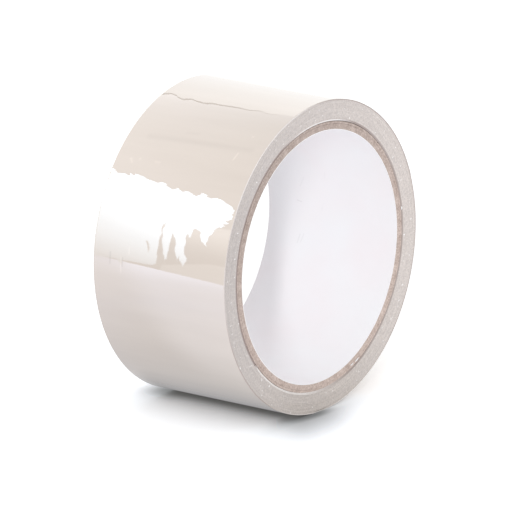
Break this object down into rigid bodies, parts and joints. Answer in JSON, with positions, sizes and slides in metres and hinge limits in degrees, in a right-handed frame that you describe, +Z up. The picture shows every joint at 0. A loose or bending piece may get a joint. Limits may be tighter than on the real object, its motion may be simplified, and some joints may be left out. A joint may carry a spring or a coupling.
{
  "type": "packing tape roll",
  "caption": "Roll of clear packing tape wound on a spiral paper core, standing on its rim, with a free end that peels off.",
  "frame": {"origin": "on the floor under the middle of the roll, at the centre of the flat that the roll stands on", "axes": "+Y along the roll's axis, from the front face to the back face; +Z up; +X to the right seen from the front"},
  "size_m": [0.094, 0.048, 0.0938],
  "materials": {
    "liner_paper": "smooth white paper, faintly lavender",
    "core_board": "cut edge of grey-brown wound board",
    "first_turn_film": "bright edge of clear film",
    "wound_tape": "stacked cut edges of clear film, warm grey, fine rings",
    "clear_film": "glossy clear film, pale beige over its adhesive"
  },
  "bodies": {
    "roll": {"core_liner": "liner_paper", "core_inner_ply": "core_board", "core_outer_ply": "core_board", "first_turn": "first_turn_film", "tape_pack": "wound_tape", "last_turn": "clear_film"},
    "tail_1": {"tail_1": "clear_film"},
    "tail_2": {"tail_2": "clear_film"},
    "tail_3": {"tail_3": "clear_film"},
    "tail_4": {"tail_4": "clear_film"},
    "tail_5": {"tail_5": "clear_film"}
  },
  "joints": [
    {"name": "tail_peel", "type": "hinge", "parent": "roll", "child": "tail_1", "pos_m": [0.02197, 0, 0.08812], "axis": [0, -1, 0], "range_deg": [0, 30]},
    {"name": "tail_curl_2", "type": "hinge", "parent": "tail_1", "child": "tail_2", "pos_m": [0.02788, 0, 0.08439], "axis": [0, -1, 0], "range_deg": [0, 30]},
    {"name": "tail_curl_3", "type": "hinge", "parent": "tail_2", "child": "tail_3", "pos_m": [0.03317, 0, 0.07981], "axis": [0, -1, 0], "range_deg": [0, 30]},
    {"name": "tail_curl_4", "type": "hinge", "parent": "tail_3", "child": "tail_4", "pos_m": [0.03772, 0, 0.0745], "axis": [0, -1, 0], "range_deg": [0, 30]},
    {"name": "tail_curl_5", "type": "hinge", "parent": "tail_4", "child": "tail_5", "pos_m": [0.04143, 0, 0.06857], "axis": [0, -1, 0], "range_deg": [0, 30]}
  ],
  "couplings": [
    {"joint": "tail_curl_2", "follows": "tail_peel", "ratio": 1},
    {"joint": "tail_curl_3", "follows": "tail_peel", "ratio": 1},
    {"joint": "tail_curl_4", "follows": "tail_peel", "ratio": 1},
    {"joint": "tail_curl_5", "follows": "tail_peel", "ratio": 1}
  ]
}
